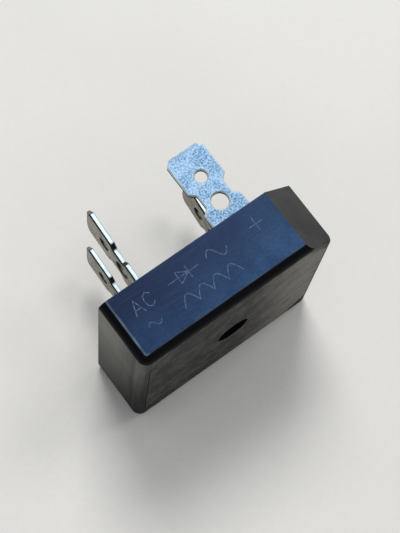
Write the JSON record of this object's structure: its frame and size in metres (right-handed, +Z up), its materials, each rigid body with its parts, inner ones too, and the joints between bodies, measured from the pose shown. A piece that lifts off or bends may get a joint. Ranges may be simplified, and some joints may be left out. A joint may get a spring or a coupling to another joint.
{
  "type": "bridge rectifier",
  "caption": "Square moulded bridge rectifier with a base plate, a centre screw hole, a cut plus corner and flat push-on blade terminals, standing on one side.",
  "frame": {"origin": "on the screw hole's axis, where it meets the mounting face", "axes": "+Y from the mounting face towards the terminals, +Z up as the body stands on one side face, +X along the body towards the side with the plus terminal and the cut corner"},
  "size_m": [0.0316, 0.023, 0.0316],
  "materials": {
    "case_moulding": "glossy black moulded resin",
    "base_plate_metal": "dull dark grey coated aluminium",
    "sleeve_moulding": "black moulded resin",
    "alumina": "white fired alumina",
    "copper_lead": "bare rolled copper",
    "tinned_blade": "tin plated, faintly spangled",
    "silicon": "passivated silicon",
    "solder": "dull solder",
    "potting_resin": "black cast epoxy resin"
  },
  "bodies": {
    "root": {"case": "case_moulding", "base_plate": "base_plate_metal", "screw_sleeve": "sleeve_moulding", "ceramic_insulator": "alumina", "plus_lead_plate": "copper_lead", "minus_lead_plate": "copper_lead", "ac_left_strap": "copper_lead", "ac_right_strap": "copper_lead", "plus_terminal": "tinned_blade", "minus_terminal": "tinned_blade", "ac_left_terminal": "tinned_blade", "ac_right_terminal": "tinned_blade", "diode_die_1": "silicon", "diode_die_2": "silicon", "diode_die_3": "silicon", "diode_die_4": "silicon", "lower_solder_1": "solder", "lower_solder_2": "solder", "lower_solder_3": "solder", "lower_solder_4": "solder", "upper_solder_1": "solder", "upper_solder_2": "solder", "upper_solder_3": "solder", "upper_solder_4": "solder", "plus_foot_solder": "solder", "minus_foot_solder": "solder", "ac_left_foot_solder": "solder", "ac_right_foot_solder": "solder", "potting": "potting_resin"}
  },
  "joints": []
}
